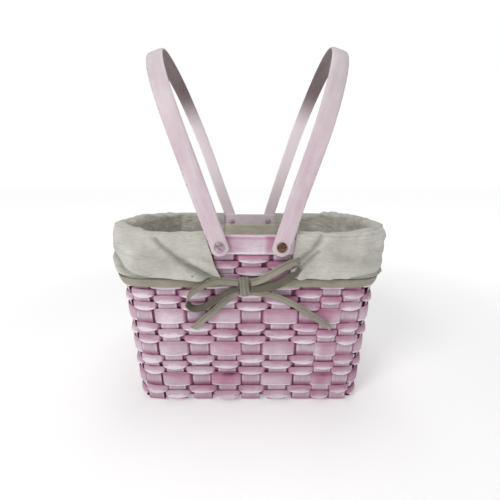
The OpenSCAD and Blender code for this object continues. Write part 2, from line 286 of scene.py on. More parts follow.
def weaver_grid(z, over, ends, middle, reach, power, swing, thick, tilt, corners):
    """A closed woven ring. ends and middle are its heights where it dives behind a stake and where it shows,
    reach how far past half-way it shows, tilt how far its lower edge stands out there. Also returns where it
    shows, the places across it, and a factor that paints shade along its outer edges, where they turn under
    and back."""
    samples = STAKES * 20
    place = np.arange(samples) * STAKES / samples
    lift, puff, lean = Wobble(STAKES, 23), Wobble(STAKES, 32), Wobble(STAKES, 32)
    shift, stretch = Wobble(STAKES, 32), Wobble(STAKES, 32)
    amount = (over_amount(place + 0.03 * shift(place), over) + reach) / (1 + reach)
    shape = np.sign(amount) * np.abs(amount) ** power
    shown = np.clip(amount, 0, 1) ** 0.5
    offset = swing * shape + 0.14 * puff(place) * shown
    half = (ends + (middle - ends) * shown) / 2 * (1 + 0.03 * stretch(place) * shown)
    level = z + 0.3 * lift(place) + 0.22 * shift(place) * shown - 0.8 * (half - ends / 2)
    point, up, outward = wall_frame(place, level, offset)
    across, through = strip_section(corners)
    crown = 1 - 0.25 * across**2
    depth = np.where(through > 0, through * crown, through) * thick / 2
    slope = (tilt + 0.25 * lean(place)) * shown
    bow = 0.35 * shown[:, None] * (1 - across**2)
    rings = sweep(point, up, outward, across * half[:, None], depth + bow - slope[:, None] * across)
    # Painted shade: a dark line along both edges, on their back halves
    rim = ease(0.86, 0.97, np.abs(across)) * ease(0.75, -0.2, through)
    return rings[:, ::-1], shown[:, None], across[::-1], 1 - 0.9 * rim[::-1]


def wash_noise(count):
    """How much whiter or pinker each showing stretch is than its neighbours, plus a painted light: whiter
    towards the left, where the light falls, and pinker towards the right, in shade.
    """
    tone, half = Wobble(STAKES, 32), Wobble(STAKES, 64)
    place = np.arange(count) * STAKES / count
    # Painted light: whiter towards the left side, pinker towards the right
    side_light = 0.1 * np.sin(2 * math.pi * (place - 16) / STAKES) - 0.02
    return (0.085 * tone(place) + 0.05 * half(place) + side_light)[:, None]


def wide_weaver(name, z, over):
    """Pink at its top, whiter below, with a white lip along each edge that is whitewash and painted
    highlight, and painted shade where it dives behind a stake.
    """
    rings, shown, across, edge_shade = weaver_grid(
        z, over, ends=16.6, middle=17.9, reach=0.3, power=0.2, swing=2.1, thick=1.3, tilt=0.5, corners=30
    )
    low_row = 0.12 if z < 50 else 0.0
    wash = 0.72 - low_row - (0.26 + low_row) * ease(0.0, 0.9, across) + wash_noise(len(rings))
    # White lip along the lower edge and a thin line along the top: whitewash, and a painted highlight where
    # the edges catch the light
    wash = wash + 0.42 * ease(-0.78, -0.85, across) + 0.3 * ease(0.93, 0.97, across)
    # Less whitewash, and painted shade, where the strip dives behind a stake
    wash = wash * (0.2 + 0.8 * ease(0.05, 0.33, shown)) * edge_shade
    return join_grids(name, hoop(rings, wash=wash))


def narrow_weaver(name, z, over, pitch):
    """Pink, with a white lens along its lower lip wherever it stands out, partly whitewash and partly a
    painted highlight, and painted shade where it dives behind a stake.
    """
    rings, shown, across, edge_shade = weaver_grid(
        z, over, ends=0.74 * pitch, middle=min(1.24 * pitch, 9.5), reach=0.14, power=0.36, swing=2.45,
        thick=1.4, tilt=1.3, corners=26,
    )
    # The white lens along the lower lip: whitewash, and a painted highlight where the lip catches the light
    lip = -1.0 + 0.7 * ease(0.25, 0.9, shown)
    wash = 0.55 + 0.45 * ease(0.06, -0.06, across - lip) + wash_noise(len(rings))
    wash = wash - 0.1 * ease(0.3, 0.95, across)
    # Less whitewash, and painted shade, where the strip dives behind a stake
    wash = wash * (0.25 + 0.75 * ease(0.05, 0.4, shown)) * edge_shade
    return join_grids(name, hoop(rings, wash=wash))


def narrow_rows():
    """Height, parity and pitch of each narrow weaver, from the bottom up. Three fill each
    gap between wide ones, and the lowest gap has only two."""
    gap = (WIDE_STEP - WIDE_HEIGHT) / 3
    rows = []
    for group in range(5):
        low = FIRST_WIDE_Z - WIDE_HEIGHT / 2 - 3 * gap
        if group:
            low = WIDE_ROWS[group - 1] + WIDE_HEIGHT / 2
        pitch = gap if group < 4 else (RIM_BOTTOM - low) / 3
        rows += [(low + (k + 0.5) * pitch, k % 2, pitch) for k in range(0 if group else 1, 3)]
    return rows


def stake_swing(parity, z):
    """How far a stake of that parity is pushed out or in by the weavers at height z."""
    rows = sorted([(level, 1) for level in WIDE_ROWS] + [row[:2] for row in narrow_rows()])
    levels = np.array([-10.0, 0.0] + [level for level, _ in rows] + [RIM_BOTTOM + 6, HEIGHT + 10])
    pushes = np.array([0.0, 0.0] + [-1.0 if over == parity else 1.0 for _, over in rows] + [0.0, 0.0])
    i = np.clip(np.searchsorted(levels, z) - 1, 0, len(levels) - 2)
    t = ease(levels[i], levels[i + 1], z)
    return pushes[i] * (1 - t) + pushes[i + 1] * t


STAKE_SWING = 0.55
STAKE_THICK = 1.3
FLOOR_MIDDLE = 1.5
FLOOR_SWING = 0.72
FLOOR_PITCH = 28.0
# How far a stake turns in from its foot, and where the corner ones meet the floor
FOOT_INSET = 4.5
CORNER_Y = 83.0
CORNER_INSET = 6.0


def upright_path(k):
    """Stake k from just above the base to the rim: its points, their outward directions, and
    how far the weave pushes each out."""
    z = np.concatenate([np.linspace(4.5, 188, 154), np.linspace(189.5, 205.3, 8)])
    push = stake_swing(k % 2, z)
    point, _, outward = wall_frame(np.full(z.shape, float(k)), z, STAKE_SWING * push)
    return point, outward, push


def stake_half_width(k):
    """Half the width of stake k. Its place in the quarter sets it."""
    return STAKE_WIDTHS[min(k % 16, -k % 16)] / 2


def stake_foot(place, crosswise, flat):
    """The upright at a place, its bend to the floor and where that ends, and its side."""
    path, out, push = upright_path(place)
    axis = 1 if crosswise else 0
    foot, up = path[0], path[2] - path[0]
    end = foot.copy()
    end[axis] -= np.sign(foot[axis]) * FOOT_INSET
    if not crosswise and abs(out[0, 1]) > 0.1:
        end[1] = np.sign(foot[1]) * CORNER_Y
        end[0] -= np.sign(foot[0]) * CORNER_INSET
    end[2] = FLOOR_MIDDLE
    elbow = foot - up * (foot[2] - FLOOR_MIDDLE) / up[2]
    s = np.linspace(0, 1, 9)[1:-1, None]
    bend = foot * (1 - s) ** 2 + 2 * elbow * s * (1 - s) + end * s**2
    side = unit(np.cross(out[0], [0, 0, 1]))
    return path, push, bend, end, side * np.sign(np.dot(side, flat) or 1)


def stake(name, first, last, crosswise):
    """A stake from the rim at place first, under the basket, and up at place last."""
    flat = np.eye(3)[0 if crosswise else 1]
    path1, push1, bend1, end1, side1 = stake_foot(first, crosswise, flat)
    path2, push2, bend2, end2, side2 = stake_foot(last, crosswise, flat)
    count = 90
    t = np.linspace(0, 1, count)[:, None]
    middle = end1 * (1 - t) + end2 * t
    run = middle[:, 1 if crosswise else 0] / FLOOR_PITCH
    fade = ease(0, 0.06, t[:, 0]) * ease(1, 0.94, t[:, 0])
    number = first if crosswise else first + 1
    middle[:, 2] += FLOOR_SWING * np.cos(math.pi * run) * (1 if number % 2 else -1) * fade
    path = np.concatenate([path1[::-1], bend1, middle, bend2[::-1], path2])
    turn = np.linspace(0, 1, 9)[1:-1, None]
    sides = np.concatenate([
        np.repeat(side1[None], len(path1), 0), side1 * (1 - turn) + flat * turn,
        np.repeat(flat[None], count, 0), flat * (1 - turn) + side2 * turn,
        np.repeat(side2[None], len(path2), 0),
    ])
    tangent = unit(np.gradient(path, axis=0))
    sides = square_to(tangent, sides)
    normal = unit(np.cross(sides, tangent))
    push = np.concatenate([push1[::-1], np.zeros(len(turn) * 2 + count), push2])[:, None]
    across, through = strip_section(18)
    wander = Wobble(len(path) * 1.3, 19)
    half = stake_half_width(first) * (1 + 0.012 * wander(np.arange(len(path))))
    depth = through * (1 - 0.3 * across**2) * STAKE_THICK / 2
    rings = sweep(path, sides, normal, across * half[:, None], depth)
    shown = ease(-0.2, 0.9, push)
    edge = np.abs(across)
    # Whitewash where the stake shows and a whiter line near each edge, and painted shade: darker where it
    # passes behind the weavers, with a dark line at each side where they meet
    wash = 0.2 + 0.54 * shown + 0.2 * ease(0.78, 0.86, edge) * shown - 0.6 * ease(0.91, 0.98, edge)
    wash = np.where(np.abs(push) < 1e-6, 0.42, wash)
    return join_grids(name, tube(rings, wash=wash))


# -------- rim bands


def rim_band(name, faces, wavy, white, stain):
    """A band round the rim between two offsets. wavy scales how uneven it is, white is extra whitewash, and
    stain darkens it just right of the front's middle. Its lower and upper edges are whiter: whitewash, and a
    painted highlight."""
    low, high = RIM_BOTTOM, HEIGHT
    samples = STAKES * 8
    place = np.arange(samples) * STAKES / samples
    at, out = wall(place, np.full(samples, HEIGHT))
    across, through = strip_section(24)
    dent = Wobble(STAKES, 41)
    height = Wobble(STAKES, 29)
    thick, middle = (faces[1] - faces[0]) / 2, (faces[1] + faces[0]) / 2
    level = (low + high) / 2 + across * (high - low) / 2 + 0.15 * wavy * height(place)[:, None]
    off = middle + through * thick * (1 - 0.35 * across**2) + 0.12 * wavy * dent(place)[:, None]
    rings = lift(at[:, None] + out[:, None] * off[..., None], level)[:, ::-1]
    across = across[::-1]
    # Whiter along the lower and upper edges: whitewash, and a painted highlight where the edges catch the
    # light
    lip = ease(0.6, 0.95, -across) + 0.7 * ease(0.75, 0.98, across)
    tone = Wobble(STAKES, 37)
    wash = 0.5 + white + 0.35 * lip + 0.13 * tone(place)[:, None]
    wash = wash - 0.3 * ease(0.5, 0.78, across) * (1 - ease(0.8, 0.98, across))
    wash = wash - stain * (ease(0.42, 0.5, place) * ease(0.78, 0.68, place))[:, None]
    return join_grids(name, hoop(rings, wash=wash))


# -------- materials


def srgb(r, g, b):
    """Linear colour of an 8-bit screen colour."""
    out = []
    for c in (r, g, b):
        c = c / 255
        out.append(c / 12.92 if c <= 0.04045 else ((c + 0.055) / 1.055) ** 2.4)
    return (*out, 1.0)


class Nodes:
    """A small helper for writing a material's nodes from left to right."""

    def __init__(self, name):
        self.material = bpy.data.materials.new(name)
        self.material.use_nodes = True
        self.tree = self.material.node_tree
        self.shader = self.tree.nodes["Principled BSDF"]

    def fill(self, socket, value):
        """Link a socket to another node's output, or set it to a constant."""
        if isinstance(value, bpy.types.NodeSocket):
            self.tree.links.new(value, socket)
        else:
            socket.default_value = value

    def add(self, kind, inputs, **settings):
        """A new node, with its inputs filled by name or by number."""
        node = self.tree.nodes.new(kind)
        for key, value in settings.items():
            setattr(node, key, value)
        for key, value in inputs.items():
            self.fill(node.inputs[key], value)
        return node

    def attribute(self, name):
        return self.add("ShaderNodeAttribute", {}, attribute_name=name).outputs["Fac"]

    def mapping(self, source, scale=(1, 1, 1), rotation=(0, 0, 0)):
        place = self.add("ShaderNodeTexCoord", {}).outputs[source]
        inputs = {"Vector": place, "Scale": scale, "Rotation": rotation}
        return self.add("ShaderNodeMapping", inputs).outputs["Vector"]

    def noise(self, vector, scale=1.0, detail=4.0, roughness=0.6, distortion=0.0):
        inputs = {"Vector": vector, "Scale": scale, "Detail": detail, "Roughness": roughness}
        inputs["Distortion"] = distortion
        return self.add("ShaderNodeTexNoise", inputs).outputs["Fac"]

    def math(self, operation, a, b):
        return self.add("ShaderNodeMath", {0: a, 1: b}, operation=operation).outputs["Value"]

    def total(self, start, *terms):
        """A number plus any sockets, each times its own weight."""
        for socket, weight in terms:
            start = self.math("ADD", start, self.math("MULTIPLY", socket, weight))
        return start

    def ramp(self, factor, *stops):
        node = self.add("ShaderNodeValToRGB", {"Fac": factor})
        ramp = node.color_ramp
        while len(ramp.elements) < len(stops):
            ramp.elements.new(0.5)
        for element, (position, colour) in zip(ramp.elements, stops):
            element.position = position
            element.color = colour
        return node.outputs["Color"]

    def mix(self, factor, a, b):
        return self.add("ShaderNodeMix", {0: factor, 6: a, 7: b}, data_type="RGBA").outputs[2]

    def bump(self, height, strength, distance, **normal):
        inputs = {"Strength": strength, "Distance": distance, "Height": height, **normal}
        return self.add("ShaderNodeBump", inputs).outputs["Normal"]

    def finish(self, **inputs):
        for name, value in inputs.items():
            self.fill(self.shader.inputs[name.replace("_", " ")], value)
        return self.material


DEEP_PINK = srgb(98, 36, 62)
ROSE_PINK = srgb(174, 106, 138)
SOFT_PINK = srgb(194, 148, 171)
LILAC_WASH = srgb(208, 184, 199)
WHITE_WASH = srgb(240, 226, 235)
# Painted shade: a grey that darkens the stakes, which stand in shade between the weavers
SHADE_GREY = srgb(132, 116, 126)
CHIPPED_PINK = srgb(176, 84, 120)
SLUB_BROWN = srgb(70, 62, 48)
PAINT_SHINE = 0.45


def painted_splint(name, shade_share=0.0):
    """Pink paint with a whitewash dragged over what stands proud, along the strip. The amount of white that
    each piece carries also holds painted highlights and painted shade, and a share of a painted shade grey
    can be mixed in.
    """
    n = Nodes(name)
    streaks = n.noise(n.mapping("UV", (60, 900, 1)), 1.0, 5.0, 0.65)
    patches = n.noise(n.mapping("Object"), 70.0)
    broad = n.noise(n.mapping("Object"), 14.0, 2.0, 0.5)
    # The start takes away half of each noise's weight, so that they only move the wash
    wash = n.total(-0.685, (n.attribute("wash"), 1.0), (streaks, 0.5), (patches, 0.42), (broad, 0.45))
    # Low values give the deep pink used as painted shade, high values the white used for whitewash and for
    # painted highlights
    paint = n.ramp(
        wash, (0.0, DEEP_PINK), (0.22, ROSE_PINK), (0.5, SOFT_PINK), (0.75, LILAC_WASH), (1.0, WHITE_WASH)
    )
    grain = n.noise(n.mapping("UV", (40, 2600, 1)), 1.0, 3.0, 0.7)
    # The second argument mixes the paint towards the painted shade grey
    return n.finish(
        Base_Color=n.mix(shade_share, paint, SHADE_GREY), Roughness=n.total(0.42, (patches, 0.25)),
        Normal=n.bump(n.total(0.0, (grain, 0.6), (patches, 0.8)), 0.35, 0.0006),
        Specular_IOR_Level=PAINT_SHINE,
    )


def painted_handle(name):
    """Pale pink paint, creamier towards the top and chipped along the edges, with a painted light that
    whitens the inner faces and a grey-brown painted shade on the inside of the bend."""
    n = Nodes(name)
    streaks = n.noise(n.mapping("UV", (22, 420, 1)), 1.0, 5.0, 0.6)
    patches = n.noise(n.mapping("Object"), 45.0)
    tone = n.total(0.0, (streaks, 0.55), (patches, 0.45))
    shades = (
        ((204, 172, 187), (215, 196, 204), (226, 216, 221)),
        ((206, 190, 195), (215, 203, 206), (224, 216, 218)),
    )
    low, top = (n.ramp(tone, *((at, srgb(*c)) for at, c in zip((0.3, 0.52, 0.72), row))) for row in shades)
    colour = n.mix(n.attribute("high"), low, top)
    # Painted light: the inner faces, which get less light, are whitened towards a near-white pink
    colour = n.mix(n.math("MULTIPLY", n.attribute("inside"), 0.92), colour, srgb(252, 238, 244))
    # Painted shade: grey-brown on the inside of the bend near the top
    bare = n.ramp(tone, (0.3, srgb(92, 76, 76)), (0.7, srgb(130, 112, 112)))
    colour = n.mix(n.attribute("bare"), colour, bare)
    chips = n.math("GREATER_THAN", n.noise(n.mapping("Object"), 240.0, 3.0, 0.7), 0.6)
    worn = n.math("MULTIPLY", n.math("MULTIPLY", n.attribute("edge"), chips), 0.75)
    grain = n.noise(n.mapping("UV", (18, 1500, 1)), 1.0, 3.0, 0.7)
    return n.finish(
        Base_Color=n.mix(worn, colour, CHIPPED_PINK), Roughness=n.total(0.4, (patches, 0.2)),
        Normal=n.bump(n.total(0.0, (grain, 0.5), (patches, 0.6)), 0.3, 0.0006),
        Specular_IOR_Level=PAINT_SHINE,
    )


def metal(name, dark, light, paint, paint_share, metallic):
    """Worn plated metal, scuffed, with paint caught in places."""
    n = Nodes(name)
    scuffs = n.noise(n.mapping("Object"), 900.0, 4.0, 0.7)
    smears = n.noise(n.mapping("Object"), 420.0, 2.0, 0.5, 1.2)
    painted = n.math("GREATER_THAN", smears, 1 - paint_share)
    colour = n.ramp(scuffs, (0.3, srgb(*dark)), (0.65, srgb(*light)))
    return n.finish(
        Base_Color=n.mix(painted, colour, srgb(*paint)), Roughness=n.total(0.2, (scuffs, 0.35)),
        Normal=n.bump(scuffs, 0.3, 0.0002),
        Metallic=n.math("MULTIPLY", n.math("SUBTRACT", 1.0, painted), metallic),
    )


def cotton(name, dark, light, shade, weave_scale, crumple, slubs=False):
    """Plain-woven cotton: fine threads both ways, soft mottling, a few dark slubs, and a painted shade where
    creases and folds are marked.
    """
    n = Nodes(name)
    inputs = {"Vector": n.mapping("UV"), "Scale": weave_scale, "Distortion": 2.2, "Detail": 2.0}
    inputs["Detail Scale"] = 1.4
    warp, weft = (
        n.add("ShaderNodeTexWave", inputs, bands_direction=way).outputs["Fac"] for way in ("X", "Y")
    )
    threads = n.total(0.0, (warp, 0.5), (weft, 0.5))
    mottle = n.noise(n.mapping("Object"), 38.0, 4.0, 0.55)
    along = n.noise(n.mapping("UV", (120, 1500, 1)), 1.0, 3.0, 0.6)
    tone = n.total(0.0, (mottle, 0.5), (along, 0.3), (threads, 0.2))
    colour = n.ramp(tone, (0.34, srgb(*dark)), (0.64, srgb(*light)))
    # Painted shade: darker towards the shade colour in creases, folds and loop insides
    colour = n.mix(n.math("MULTIPLY", n.attribute("crease"), 0.7), colour, srgb(*shade))
    if slubs:
        spots = n.add("ShaderNodeTexVoronoi", {"Vector": n.mapping("UV", (55, 80, 1)), "Scale": 1.0})
        dots = n.math("LESS_THAN", spots.outputs["Distance"], 0.045)
        few = n.math("GREATER_THAN", n.noise(n.mapping("Object"), 30.0, 0.0), 0.56)
        colour = n.mix(n.math("MULTIPLY", n.math("MULTIPLY", dots, few), 0.7), colour, SLUB_BROWN)
    creased = n.noise(n.mapping("Object", (26, 26, 74), (0.0, 0.6, 0.0)), 1.0, 3.0, 0.55, 0.6)
    normal = n.bump(creased, 0.5, crumple, Normal=n.bump(threads, 0.35, 0.0003))
    return n.finish(
        Base_Color=colour, Roughness=0.9, Normal=n.bump(mottle, 0.3, 0.003, Normal=normal),
        Specular_IOR_Level=0.2, Sheen_Weight=0.25, Sheen_Roughness=0.6,
    )


# The material of each of the record's slots
MATERIALS = {
    # The stakes get about a quarter of the painted shade grey
    "stake_wood": painted_splint("stake_paint", 0.24),
    "wide_weaver_wood": painted_splint("wide_weaver_paint"),
    "narrow_weaver_wood": painted_splint("narrow_weaver_paint"),
    "rim_wood": painted_splint("rim_paint"),
    "handle_wood": painted_handle("handle_paint"),
    "nickel": metal("worn_nickel", (120, 104, 110), (196, 186, 190), (206, 158, 184), 0.42, 0.9),
    "bronze": metal("dark_bronze", (62, 46, 34), (130, 100, 72), (176, 120, 128), 0.3, 0.85),
    "hardware_steel": metal("plated_steel", (120, 118, 122), (178, 176, 180), (205, 160, 185), 0.3, 0.9),
    "lining_cotton": cotton("lining_cotton", (192, 184, 170), (222, 215, 202), (96, 90, 78), 260.0, 0.006),
    "cuff_cotton": cotton("cuff_cotton", (174, 171, 161), (218, 216, 207), (92, 88, 74), 260.0, 0.016, True),
    "tape_cotton": cotton("tape_cotton", (130, 125, 110), (170, 164, 148), (52, 47, 38), 420.0, 0.002),
}


def finish_piece(obj, slot, node, body="basket", painted_as=None):
    """Give a piece the material of its slot, or of the slot it is painted as, hide the imported node it
    stands for, and attach it to its body.
    """
    obj.data.materials.append(MATERIALS[painted_as or slot])
    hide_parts(node)
    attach(obj, body)


# -------- bow tapes

TAPE_WIDTH = 8.0
TAPE_THICK = 1.1
# Each tape's lean across its width, how far its end is cut aslant, and its route
BOW = {
    "bow_loop_left": ((0, 0.62, 0.78), 0.0, [
        (-12.5, -122, 157.5), (-20, -122.5, 158.5), (-37, -123, 159), (-53, -123, 152.5),
        (-64, -122.5, 143.5), (-67, -121.5, 134.5), (-61, -120, 128), (-51, -119.5, 128.5),
        (-37, -120, 137.5), (-22, -121.5, 147.5), (-12.5, -122, 151),
    ]),
    "bow_tail_left": ((-0.2, -0.25, 0.95), 1.2, [
        (-12.5, -117.5, 145.5), (-20, -117, 141), (-32, -116.5, 130), (-46, -115.5, 117),
        (-63, -114.5, 102),
    ]),
    "bow_loop_right": ((-0.25, 0.3, 0.92), 0.0, [
        (0.5, -122, 157.5), (10, -123, 160.5), (22, -124, 167.5), (36, -124.5, 176),
        (46, -124.5, 180), (49, -124, 173.5), (42, -123.5, 164.5), (28, -123.5, 155.5),
        (13, -122.5, 151.5), (0.5, -122, 151),
    ]),
    "bow_tail_right": ((0.2, -0.3, 0.92), -3.5, [
        (0.5, -117.5, 145.5), (12, -118, 144), (27, -117.5, 140.5), (41, -117, 134),
        (55, -116.5, 126), (72, -115.5, 114.5), (89, -114.5, 103),
    ]),
}


def blend_weights(knots, t):
    """Weights of each knot in a smooth curve through them, for t from 0 to 1."""
    t = np.asarray(t) * (knots - 1)
    i = np.minimum(np.floor(t).astype(int), knots - 2)
    f = t - i
    weights = np.zeros((len(t), knots))
    parts = (
        (-1, -0.5 * f + f**2 - 0.5 * f**3), (0, 1 - 2.5 * f**2 + 1.5 * f**3),
        (1, 0.5 * f + 2 * f**2 - 1.5 * f**3), (2, -0.5 * f**2 + 0.5 * f**3),
    )
    for step, value in parts:
        np.add.at(weights, (np.arange(len(t)), np.clip(i + step, 0, knots - 1)), value)
    return weights


def spline(points, per_span):
    """A smooth line through the points, and how far along it runs."""
    t = np.linspace(0, 1, (len(points) - 1) * per_span + 1)
    line = blend_weights(len(points), t) @ np.array(points, float)
    return line, run_along(line)


def tape(name, route, broad, loop, cut):
    """A folded cotton tape along a route. broad is the direction its width leans to, and
    cut how far one edge runs past the other at the loose end."""
    line, run = spline(route, 14)
    ahead = unit(np.gradient(line, axis=0))
    width = square_to(ahead, np.asarray(broad, float))
    for _ in range(12):
        width[1:-1] = unit(width[:-2] + width[1:-1] * 2 + width[2:])
    width = square_to(ahead, width)
    face = unit(np.cross(ahead, width))
    across, through = strip_section(20)
    ripple, swell = Wobble(run[-1] * 1.3, 11), Wobble(run[-1] * 1.3, 15)
    half = TAPE_WIDTH / 2 * (1 + 0.05 * swell(run))
    fold = 0.3 * np.exp(-(((across - 0.5) / 0.12) ** 2)) * np.sign(through)
    depth = through * TAPE_THICK / 2 - fold + 0.25 * ripple(run)[:, None] * across
    rings = sweep(line, width, face, across * half[:, None], depth)
    if cut:
        reach = ease(run[-1] - 9, run[-1], run)[:, None] * across * cut
        rings = rings + ahead[:, None] * reach[..., None]
    # Painted shade: darker on the inner faces of the loops, and along the fold down the tape's length
    inward = np.sign(np.sum(face * (line.mean(0) - line), -1))[:, None]
    inside = ease(0.1, 0.5, inward * through) * (0.9 if loop else 0.0)
    crease = np.maximum(0.6 * np.exp(-(((across - 0.5) / 0.1) ** 2)), inside)
    return join_grids(name, tube(rings, crease=crease)), line, float(run[-1])


def add_bow():
    for key, (broad, cut, route) in BOW.items():
        loop = "loop" in key
        piece, line, length = tape(key.replace("bow", "bow_tape"), route, broad, loop, cut)
        finish_piece(piece, "tape_cotton", key)


add_bow()

# -------- weave pieces

for i, level in enumerate(WIDE_ROWS):
    piece = wide_weaver(f"wide_weaver_strip_{i + 1}", level, 1)
    finish_piece(piece, "wide_weaver_wood", f"wide_weaver_{i + 1}")

for i, (level, over, pitch) in enumerate(narrow_rows()):
    piece = narrow_weaver(f"narrow_weaver_strip_{i + 1}", level, over, pitch)
    finish_piece(piece, "narrow_weaver_wood", f"narrow_weaver_{i + 1}")

for i in range(9):
    piece = stake(f"cross_stake_splint_{i + 1}", (i - 4) % STAKES, STAKES // 2 + 4 - i, True)
    finish_piece(piece, "stake_wood", f"cross_stake_{i + 1}")

for i in range(7):
    piece = stake(f"long_stake_splint_{i + 1}", STAKES - (i + 5), i + 5, False)
    finish_piece(piece, "stake_wood", f"long_stake_{i + 1}")

piece = rim_band("rim_outer_band", RIM_OUTER, wavy=1.0, white=0.16, stain=0.34)
finish_piece(piece, "rim_wood", "rim_outer")
piece = rim_band("rim_inner_band", RIM_INNER, wavy=0.5, white=0.9, stain=0.0)
finish_piece(piece, "rim_wood", "rim_inner")

# -------- handles


def bail(name, side, lean):
    """A bent strip from foot to foot, rounded at its feet and softened at its edges."""
    radius = LEG_INNER + STRIP_THICK / 2
    straight = HANDLE_RISE - radius - STRIP_THICK / 2
    foot = STRIP_WIDTH / 2
    rounded = -foot * np.cos(np.linspace(0, math.pi / 2, 12))
    leg = np.concatenate([rounded, [3, 6], np.linspace(10, straight - 2, 30)])
    angle = np.linspace(0, math.pi, 97)
    y = np.concatenate([np.full(leg.shape, -radius), -radius * np.cos(angle), np.full(leg.shape, radius)])
    z = np.concatenate([leg, straight + radius * np.sin(angle), leg[::-1]])
    path = np.stack([0 * y, y, z], -1)
    normal = np.stack([0 * y, y, np.maximum(z - straight, 0)], -1) / radius
    below = np.clip(-z / foot, 0, 1)
    half = foot * np.minimum(1, 1 - 0.52 * np.clip((below - 0.5) / 0.5, 0, 1) ** 1.15)
    half = half - 0.9 * np.clip((below - 0.93) / 0.07, 0, 1)
    wander, wave = Wobble(len(path) * 1.1, 9), Wobble(len(path) * 1.1, 13)
    index = np.arange(len(path))
    quiet = ease(10, 60, z)
    path[:, 0] += 0.5 * wander(index) * quiet
    across, through = strip_section(28)
    bevel = 1 - 0.28 * np.abs(across) ** 6
    half = half * (1 + 0.01 * wave(index) * quiet)
    sideways = np.array([[1.0, 0, 0]])
    rings = sweep(path, sideways, normal, across * half[:, None], through * bevel * STRIP_THICK / 2)
    tilt = math.radians(side * lean)
    c, s = math.cos(tilt), math.sin(tilt)
    turned = rings @ np.array([[c, 0, -s], [0, 1, 0], [s, 0, c]]) + [side * BOLT_X, 0, BOLT_Z]
    edge = ease(0.8, 0.98, np.abs(across)) * (0.25 + 0.75 * ease(0.0, 0.5, side * across))
    # The inner faces, which the paint whitens as a painted light
    inside = ease(-0.1, -0.5, through)
    # Painted shade on the inner faces near the top of the bend
    bare = inside * 0.95 * ease(158, 212, z)[:, None]
    return join_grids(name, tube(turned, high=ease(60, 215, z)[:, None], edge=edge, bare=bare, inside=inside))


for side, lean, word in ((-1, LEFT_LEAN, "left"), (1, RIGHT_LEAN, "right")):
    piece = bail(f"bail_strip_{word}", side, lean)
    finish_piece(piece, "handle_wood", f"handle_{word}", body=f"handle_{word}")

# -------- cloth

# How far from the middle of the front and of the back the cuffs start
NOTCH = 46.0
BACK_NOTCH = 44.0
CLOTH_THICK = 1.1
# The lowest that a cuff lies where it crosses the rim
RIM_COVER = HEIGHT + 1.9


class Ripple:
    """Smooth seeded noise of two variables, with a grain length for each."""

    def __init__(self, grain_u, grain_v, size=64):
        self.grain_u, self.grain_v = grain_u, grain_v
        self.values = rng.uniform(-1, 1, (size, size))

    def __call__(self, u, v):
        u, v = np.asarray(u) / self.grain_u, np.asarray(v) / self.grain_v
        i, j = np.floor(u).astype(int), np.floor(v).astype(int)
        f, g = ease(0, 1, u - i), ease(0, 1, v - j)
        table, n = self.values, len(self.values)
        low, high = (
            table[i % n, k % n] * (1 - f) + table[(i + 1) % n, k % n] * f for k in (j, j + 1)
        )
        return low * (1 - g) + high * g


def shell(name, outer, inner, crease, closed_path=False, capped=False):
    """A sheet with thickness between two matching grids of points (n, m, 3). Where it is
    capped, the last points of its rows close its middle."""
    n, m = outer.shape[:2]
    _, faces, uvs, _ = grid(outer, closed_path, False, False, {})
    _, lining, lining_uvs, _ = grid(inner, closed_path, False, False, {})
    shift = n * m
    faces += [[shift + k for k in face][::-1] for face in lining]
    for start in range(0, len(lining_uvs), 4):
        uvs += lining_uvs[start:start + 4][::-1]
    columns = ((0, 1),) if capped else ((0, 1), (m - 1, -1))
    path = range(n if closed_path else n - 1)
    seams = [(i * m + j, (i + 1) % n * m + j, order, i) for j, order in columns for i in path]
    if not closed_path:
        rows = ((0, -1), (n - 1, 1))
        seams += [(i * m + j, i * m + j + 1, order, j) for i, order in rows for j in range(m - 1)]
    for a, b, order, run in seams:
        faces.append([a, shift + a, shift + b, b][::order])
        uvs += [[run * MM, 0.0]] * 4
    if capped:
        for base, order in ((0, 1), (shift, -1)):
            faces.append([base + i * m + m - 1 for i in range(n)][::order])
            uvs += [[0.0, 0.0]] * n
    points = np.concatenate([outer.reshape(-1, 3), inner.reshape(-1, 3)])
    return make_mesh(name, points, faces, uvs, {"crease": np.tile(np.ravel(crease), 2)})


def side_of(line, x, y):
    """Distance from a polyline, positive on the left of its run, and how far along it."""
    line = np.array(line, float)
    runs = run_along(line)
    best = np.full(np.shape(x), np.inf)
    sign = along = np.zeros_like(best)
    for (ax, ay), (dx, dy), run in zip(line, np.diff(line, axis=0), runs):
        length = math.hypot(dx, dy)
        t = np.clip(((x - ax) * dx + (y - ay) * dy) / length**2, 0, 1)
        gap = np.hypot(x - ax - t * dx, y - ay - t * dy)
        near = gap < best
        best = np.where(near, gap, best)
        sign = np.where(near, np.sign(dx * (y - ay) - dy * (x - ax)), sign)
        along = np.where(near, run + t * length, along)
    return best * sign, along / runs[-1]


def fold(line, s, z, height, reach, groove, width):
    """A fold along a line: a puff on its left that falls away, a groove on the line, and how much painted
    shade lies along the groove.
    """
    d, along = side_of(line, s, z)
    ends = ease(0, 0.12, along) * ease(1.0, 0.93, along) + 0 * d
    puff = height * ease(-0.3, width, d) * np.exp(-np.maximum(d, 0) / reach)
    dip = groove * np.exp(-(((d + 0.3 * width) / (0.45 * width)) ** 2))
    return ends * (puff - dip), ends * np.exp(-(((d + 0.2 * width) / (0.5 * width)) ** 2))


